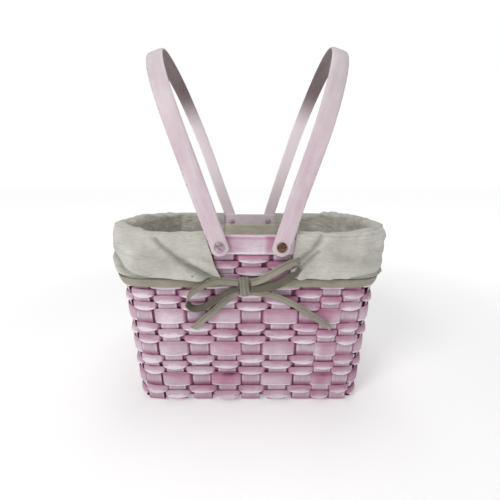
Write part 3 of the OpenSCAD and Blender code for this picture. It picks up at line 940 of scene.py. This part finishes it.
# A cuff's section at the front and at each side: offset from the wall, height
FRONT_SECTION = [
    (-7.6, 170), (-7.7, 184), (-7.4, 198), (-6.4, 204), (-4.1, 207.9), (-0.8, 209.4), (2.5, 208.0),
    (4.1, 204.4), (4.5, 197), (4.7, 188), (6.1, 178), (6.6, 169.5), (5.6, 164), (3.3, 160.7),
    (2.2, 157.2),
]
LEFT_SECTION = [
    (-9.8, 170), (-10.6, 184), (-11.6, 198), (-11.6, 208), (-8.2, 214.2), (-3.0, 216.6), (2.2, 214.2),
    (4.8, 207.5), (5.7, 198), (5.9, 186), (6.1, 178), (5.7, 171), (4.8, 166), (3.5, 161.8),
    (1.6, 157.2),
]
RIGHT_SECTION = [
    (-8.0, 170), (-8.8, 184), (-9.6, 198), (-9.6, 208), (-6.6, 214.2), (-1.8, 216.4), (2.8, 214.2),
    (4.8, 207.5), (5.3, 198), (5.5, 186), (5.6, 178), (5.3, 171), (4.6, 166), (3.2, 161.8),
    (1.0, 157.2),
]
# Lines of creases on the cuffs: distance round the rim from the front, height
LEFT_PUFF = [(105, 204), (98, 200.5), (91, 193), (77, 179.5), (64.5, 169), (55, 161), (49, 157.5)]
LEFT_SOFT = [(168, 184), (146, 177), (137, 167), (124, 161.5), (104, 158)]
RIGHT_PLEAT = [(75, 213), (72.5, 203), (64.5, 190), (52.5, 178.5), (44, 172.5)]
RIGHT_UNDER = [(74, 192), (66, 184), (57, 175), (49, 166)]
RIGHT_SOFT = [(160, 168), (131, 163), (104, 160)]
# Each crease of a cuff: its line, how high and how far its puff reaches, and the depth and
# width of its groove
LEFT_CREASES = ((LEFT_PUFF, 5.6, 13, 3.2, 5.0), (LEFT_SOFT, 3.0, 10, 1.4, 7.0))
RIGHT_CREASES = (
    (RIGHT_PLEAT, 3.6, 24, 3.2, 6.0), (RIGHT_UNDER, 2.2, 9, 2.4, 5.0), (RIGHT_SOFT, 2.4, 9, 1.2, 5.5),
)
# The cuff's front edge at a few heights, as distances round the rim
LEFT_EDGE = ([158, 163, 175, 189, 206], [30, 31.5, 37, 41.5, 46.5])
RIGHT_EDGE = ([158, 172, 190, 208], [41, 42, 45.5, 47.5])
KNOT_S, KNOT_Z = 38, 158
# Where the handles sweep past, a cuff stands off the wall by this and hardly more
SWEPT_OFFSET = 4.6


def cuff_sections(left, s, t):
    """Offset and height of each point of a smooth cuff, from inside, over the rim, down."""
    side = LEFT_SECTION if left else RIGHT_SECTION
    share = (ease(92, 150, s) * ease(392, 335, s))[:, None, None]
    knots = np.array(FRONT_SECTION) * (1 - share) + np.array(side) * share
    droop = ease(230, 330, s)[:, None] * ease(204, 212, knots[..., 1])
    knots[..., 1] -= (6.0 if left else 3.5) * droop
    return np.einsum("tk,skd->std", blend_weights(len(side), t), knots)


def cuff_relief(left, s, z, down, t, outside):
    """How far gathers, folds and creases push the cuff out, and how much painted shade lies along its creases
    and just above its hem.
    """
    top = np.exp(-(((t - 0.36) / 0.14) ** 2))
    broad, gather, fine = Ripple(44, 30), Ripple(9, 34), Ripple(5, 5)
    inside_fold, slant, crumple = Ripple(19, 90), Ripple(20, 9), Ripple(30, 13)
    push = 1.7 * broad(s, down) * outside
    corner = np.exp(-(((s - 140) / 26) ** 2)) + np.exp(-(((s - 344) / 26) ** 2))
    push += (0.7 + 0.8 * corner) * gather(s + 0.25 * down, down) * top * 1.1
    push += 0.75 * gather(s * 1.4, down) * np.exp(-((z - 160) / 6.0) ** 2) * outside
    push += 1.9 * np.abs(inside_fold(s, down * 0.7)) * (1 - ease(0.24, 0.38, t))
    push += slant(s * 0.6 + z, z - s * 0.35) * outside + 0.12 * fine(s, down)
    push += 1.5 * crumple(s * 0.8 + z * 0.6, z * 0.8 - s * 0.6) * outside
    crease = np.zeros_like(z)
    for line, height, reach, groove, width in LEFT_CREASES if left else RIGHT_CREASES:
        raised, groove_shade = fold(line, s, z, height, reach, groove, width)
        push += raised * outside
        # Painted shade along each crease's groove
        crease = np.maximum(crease, 0.75 * groove_shade * outside)
    radius = np.hypot(s - KNOT_S, z - KNOT_Z)
    rays = np.sin(8 * np.arctan2(z - KNOT_Z, s - KNOT_S) + 0.5)
    push += (0.9 if left else 1.3) * rays * np.exp(-(((radius - 42) / 30) ** 2)) * outside
    # Painted shade: a dark line on the cuff just above the hem casing
    hem = np.exp(-(((z - 160.5) / 1.6) ** 2)) * outside
    return push * np.where(t > 0.5, ease(159.5, 164, z), 1.0), np.maximum(crease, 0.8 * hem)


def cuff_limits(off, level, outside, swept):
    """Keep a cuff on the rim, off the weave, and clear of the handles' path."""
    on_rim = ease(-6.2, -5.0, off) * ease(4.0, 3.0, off) * ease(198, 202, level)
    lowest = np.interp(level, [157, 163, 184, 187, 205, 208], [1.8, 2.8, 3.4, 4.05, 4.05, 2.5])
    level = level + np.maximum(RIM_COVER - level, 0) * on_rim
    below = np.maximum(lowest + 0.8 - off, 0) * outside
    off = np.where(below > 0, lowest + 0.8 * np.exp(-below / 0.8), off)
    soft = SWEPT_OFFSET + 1 - np.exp(-np.maximum(off - SWEPT_OFFSET, 0))
    return np.where(off > SWEPT_OFFSET, off * (1 - swept) + soft * swept, off), level


def cuff_surface(left):
    """Outer and inner points of a cuff, and how much painted shade lies in its creases."""
    fine = 24.0
    gap = ease(0, 1, np.linspace(0, 1, 26)) * fine
    end = 2 * RIM_QUARTER - BACK_NOTCH
    s = np.concatenate([NOTCH + gap[:-1], np.linspace(NOTCH + fine, end - fine, 340), end - gap[::-1][1:]])
    t = np.linspace(0, 1, 110)
    section = cuff_sections(left, s, t)
    off, z = section[..., 0], section[..., 1]
    slope = unit(np.gradient(section, axis=1))
    out_off, out_z = -slope[..., 1], slope[..., 0]
    steps = np.cumsum(np.hypot(np.diff(off), np.diff(z)), axis=1)
    down = np.concatenate([np.zeros((len(s), 1)), steps], axis=1)
    s = s[:, None] + 0 * z
    outside = ease(0.42, 0.55, t)
    push, crease = cuff_relief(left, s, z, down, t, outside)
    edge_on = ease(150, 112, s) + ease(334, 372, s)
    swept = ease(179, 186, z) * outside * edge_on
    push = push * (1.25 - 0.85 * swept)
    off, level = cuff_limits(off + out_off * push, z + out_z * push, outside, swept)
    lean = (NOTCH - np.interp(level, *(LEFT_EDGE if left else RIGHT_EDGE))) * outside
    s = s - lean * ease(NOTCH + 60, NOTCH, s)
    outer = cloth_points(s, off, level, left)
    inner = cloth_points(s, off - out_off * CLOTH_THICK, level - out_z * CLOTH_THICK, left)
    return outer, inner, np.clip(crease, 0, 1)


def cloth_points(s, offset, z, left=False):
    """Points beside the rim; those of the left half are still to be mirrored."""
    at, out = outline((-s if left else s) / RIM_QUARTER, np.full(np.shape(s), HEIGHT))
    return lift((at + out * offset[..., None]) * [-1 if left else 1, 1], z)


def add_cuff(left):
    outer, inner, crease = cuff_surface(left)
    if left:
        outer, inner = outer * [-1, 1, 1], inner * [-1, 1, 1]
        outer, inner, crease = outer[::-1], inner[::-1], crease[::-1]
    word = "left" if left else "right"
    piece = shell(f"cuff_cloth_{word}", outer, inner, crease)
    finish_piece(piece, "cuff_cotton", f"cuff_{word}")


def add_liner_bag():
    """The bag of the liner, hanging in soft folds inside the weave."""
    n = 420
    share = np.arange(n) * 4 / n
    levels = np.concatenate([np.linspace(190.0, 14, 44), [10, 7, 5, 3.9]])
    shrink = np.concatenate([np.zeros(44), [0.6, 1.8, 4.0, 8.0]])
    folds, broad, seam = Ripple(0.09, 90, 44), Ripple(0.3, 60, 13), Ripple(0.05, 12, 80)
    ss, zz = np.meshgrid(share, levels, indexing="ij")
    depth = 1.1 + folds(ss, zz) + 0.8 * broad(ss, zz) + 0.2 * seam(ss, zz)
    depth = np.maximum(depth, 0.1) * ease(8, 40, zz) * (1 - 0.85 * ease(150, 172, zz)) + 0.2
    at, out = outline(ss, zz)
    outer = lift(at + out * (LINER_OFFSET - depth - shrink)[..., None], zz)
    inner = outer - lift(out, 0 * zz)
    floor_noise = Ripple(26, 26)
    plan = outer[:, -1:, :2] * np.linspace(0.93, 0.02, 14)[:, None]
    floor = lift(plan, 3.3 + 0.35 * np.abs(floor_noise(plan[..., 0], plan[..., 1])))
    outer = np.concatenate([outer, floor], 1)
    inner = np.concatenate([inner, floor + [0, 0, 1.0]], 1)
    crease = np.zeros(outer.shape[:2])
    piece = shell("liner_bag_cloth", outer, inner, crease, closed_path=True, capped=True)
    finish_piece(piece, "lining_cotton", "liner_bag")


def hem_casing():
    """The gathered casing round the lower edge of the cuffs."""
    span = np.linspace(41, 4 * RIM_QUARTER - 30, 900)
    turn = np.minimum(span, 4 * RIM_QUARTER - span)
    sideways = ease(92, 165, turn) * ease(392, 319, turn)
    hem = 3.1 - np.where(span > 2 * RIM_QUARTER, 1.0, 1.9) * sideways
    pucker, drift, sag = Ripple(6, 60), Ripple(60, 60), Ripple(75, 60)
    across, through = strip_section(26)
    across, through = across[::-1], through[::-1]
    centre = hem + 0.2 * drift(span + 500, 0) - 0.2
    ends = ease(0, 6, span - span[0]) * ease(0, 6, span[-1] - span)
    centre = centre * ends + (centre - 0.6) * (1 - ends)
    thick = 1.35 - 0.35 * sideways + 0.12 * pucker(span, 0)
    puckers = 0.28 * pucker(span[:, None], across * 10) * (through > 0)
    tuck = 1.5 * sideways[:, None] * across
    off = centre[:, None] + through * (1 - 0.45 * across**2) * thick[:, None] + tuck + puckers
    half = 4.5 + 0.12 * drift(span, 0)
    z = (155.3 + 0.5 * sag(span, 0) - 0.8 * sideways)[:, None] + across * half[:, None]
    rings = cloth_points(span[:, None] + 0 * z, off, z)
    # Painted shade along the casing's upper edge, under the cuff
    return tube(rings, crease=0.9 * ease(0.8, 0.98, across))


def hem_end(*route):
    """The flat end of the tape, from the casing to the knot."""
    line, run = spline(route, 10)
    across, through = strip_section(16)
    half = np.interp(run / run[-1], [0, 1], [3.6, 3.0])
    wave = Wobble(run[-1] * 1.2, 9)
    depth = through * 0.75 + 0.2 * wave(run)[:, None]
    rings = sweep(line, np.array([[0, 0, 1.0]]), np.array([[0, -1.0, 0]]), across * half[:, None], depth)
    return tube(rings[:, ::-1] if line[0, 0] < 0 else rings, crease=0)


def add_hem_tape():
    piece = join_grids(
        "hem_tape_casing", hem_casing(),
        hem_end((-29, -117.6, 155.6), (-22, -117.3, 155.9), (-12, -117.5, 155)),
        hem_end((41.5, -117.6, 155.2), (28, -117.3, 154.6), (14, -117.2, 154.8), (0, -117.5, 155)),
    )
    finish_piece(piece, "tape_cotton", "hem_tape")


def add_knot():
    """The wrap of tape round the middle of the bow."""
    level = np.linspace(142.2, 162.6, 44)
    t = (level - level[0]) / (level[-1] - level[0])
    angle = np.arange(56) * 2 * math.pi / 56
    ca, sa = np.cos(angle), np.sin(angle)
    shape_x = np.sign(ca) * np.abs(ca) ** 0.7
    shape_y = np.sign(sa) * np.abs(sa) ** 0.75
    end = np.sqrt(np.clip(1 - np.abs(2 * t - 1) ** 5, 0.02, 1))
    half_x = (5.2 + 0.5 * np.cos(2 * math.pi * (t - 0.1))) * (0.78 + 0.22 * end)
    half_y = 4.7 * (0.3 + 0.7 * end)
    groove = 0.35 * np.cos(shape_x * 7.5 + 0.8) + 0.2 * np.cos(shape_x * 15)
    front = np.clip(-shape_y, 0, 1)
    rings = np.zeros((len(level), 56, 3))
    rings[..., 0] = -6.1 - 2.2 * (t[:, None] - 0.5) + shape_x * half_x[:, None]
    rings[..., 1] = -119.9 + shape_y * half_y[:, None] + groove * front * end[:, None]
    rings[..., 2] = level[:, None] + 0.5 * shape_x
    # Painted shade in the grooves across the front of the wrap
    crease = np.clip(0.5 - 1.6 * np.cos(shape_x * 7.5 + 0.8), 0, 1) * front * 0.5
    piece = join_grids("bow_knot_wrap", tube(rings, crease=crease))
    finish_piece(piece, "tape_cotton", "bow_knot")


# -------- bolts and washers


def turned(profile, sides):
    """Rings of a turned piece along Y, from a profile of (radius, distance off the rim)."""
    angle = np.arange(sides) * 2 * math.pi / sides
    radius, stand = np.array(profile).T[..., None]
    return np.stack([radius * np.cos(angle), 0 * angle - FRONT - stand, radius * np.sin(angle)], -1)


def bolt_rings(slot_turn):
    """A domed head with a slot across it, and the shank behind it."""
    dome = [(5.2 * math.sin(a), 11.3 + 1.55 * math.cos(a)) for a in np.linspace(0.02, 1.45, 30)]
    shank = [(5.25, 11.0), (5.2, 10.3), (4.9, 10.1), (2.6, 10.08), (2.42, 9.8), (2.42, -7.0)]
    rings = turned(dome + shank + [(2.1, -7.4), (0.1, -7.45)], 64)
    across = rings[..., 0] * math.sin(slot_turn) + rings[..., 2] * math.cos(slot_turn)
    rings[..., 1] += 0.8 * ease(0.75, 0.35, np.abs(across)) * (rings[..., 1] < -FRONT - 11.6)
    return rings


def nut_rings():
    """A nut with six sides and a low cap."""
    profile = [(0.2, -8.7), (2.2, -8.5), (3.7, -7.6), (4.6, -7.0), (4.6, -4.5), (2.7, -4.5)]
    rings = turned(profile, 48)
    corner = math.pi / 6
    angle = (np.arange(48) * 2 * math.pi / 48 + corner) % (2 * corner) - corner
    rings[3:5, :, ::2] *= (math.cos(corner) / np.cos(angle))[:, None]
    return rings


def at_bolt(rings, side, back):
    """Rings moved to a bolt's place at one side, and turned round for the back."""
    return rings * ([-1, -1, 1] if back else [1, 1, 1]) + np.array([side * BOLT_X, 0, BOLT_Z])


def add_bolts():
    for side, word, slot, turn in ((-1, "left", "nickel", 0.75), (1, "right", "bronze", -0.35)):
        bolts = [tube(at_bolt(bolt_rings(turn), side, back), wash=0) for back in (False, True)]
        piece = join_grids(f"bolt_pair_{word}", *bolts)
        finish_piece(piece, slot, f"bolts_{word}")
    places = [(side, back) for side in (-1, 1) for back in (False, True)]
    washer = turned([(2.7, 2.8), (5.7, 2.8), (6.0, 3.2), (6.0, 5.5), (5.7, 5.9), (2.7, 5.9), (2.7, 2.8)], 40)
    washers = [grid(at_bolt(washer, *place), False, True, False, {}) for place in places]
    nuts = [tube(at_bolt(nut_rings(), *place), wash=0.8) for place in places]
    finish_piece(join_grids("spacing_washers", *washers), "hardware_steel", "washers")
    finish_piece(join_grids("rim_nuts", *nuts), "hardware_steel", "nuts", painted_as="stake_wood")


add_liner_bag()
add_cuff(True)
add_cuff(False)
add_hem_tape()
add_knot()
add_bolts()

# -------- stage


WHITE = (1, 1, 1, 1)
FLOOR_REACH = 20.0
WORLD_GLOW = 0.3
# Place, target, size and watts of each light
LIGHTS = {
    "key": ((-0.62, -0.84, 1.0), (0, 0, 0.16), 0.42, 6.2),
    "fill": ((1.4, -1.2, 0.9), (0, 0, 0.15), 1.4, 1.0),
    "top": ((0.1, 0.3, 1.8), (0, 0, 0.1), 1.0, 8.0),
}


def add_floor():
    """A pale floor that glows more with distance, until it is as white as the world."""
    corners = np.array([(-1, -1, 0), (1, -1, 0), (1, 1, 0), (-1, 1, 0)]) * FLOOR_REACH
    floor = make_mesh("floor", corners / MM, [(0, 1, 2, 3)])
    n = Nodes("floor_paper")
    tone = n.noise(n.mapping("Object"), 3.0, 2.0)
    colour = n.ramp(tone, (0.2, (0.93, 0.93, 0.93, 1)), (0.8, (0.96, 0.96, 0.96, 1)))
    away = n.add("ShaderNodeVectorMath", {0: n.mapping("Object")}, operation="LENGTH")
    inputs = {"From Min": 0.3, "From Max": 1.3, "To Min": 0.3, "To Max": 0.7}
    inputs["Value"] = away.outputs["Value"]
    glow = n.add("ShaderNodeMapRange", inputs, interpolation_type="SMOOTHSTEP").outputs["Result"]
    paper = n.finish(Base_Color=colour, Roughness=0.9, Emission_Color=WHITE, Emission_Strength=glow)
    floor.data.materials.append(paper)


def add_world():
    """Full white where the camera sees it, and a weaker white light on the scene."""
    world = bpy.data.worlds.new("studio")
    world.use_nodes = True
    nodes, links = world.node_tree.nodes, world.node_tree.links
    choose = nodes.new("ShaderNodeMixShader")
    path = nodes.new("ShaderNodeLightPath")
    links.new(path.outputs["Is Camera Ray"], choose.inputs[0])
    glow, seen = nodes["Background"], nodes.new("ShaderNodeBackground")
    for node, strength, place in ((glow, WORLD_GLOW, 1), (seen, 1.0, 2)):
        node.inputs["Color"].default_value = WHITE
        node.inputs["Strength"].default_value = strength
        links.new(node.outputs[0], choose.inputs[place])
    links.new(choose.outputs[0], nodes["World Output"].inputs["Surface"])
    bpy.context.scene.world = world


def add_light(name, location, target, size, watts):
    data = bpy.data.lights.new(name, "AREA")
    data.size = size
    data.energy = watts
    light = bpy.data.objects.new(name, data)
    light.location = location
    light.rotation_euler = (Vector(target) - Vector(location)).to_track_quat("-Z", "Y").to_euler()
    bpy.context.collection.objects.link(light)


add_floor()
add_world()
for name, settings in LIGHTS.items():
    add_light(name, *settings)
bpy.context.scene.view_settings.view_transform = "Standard"
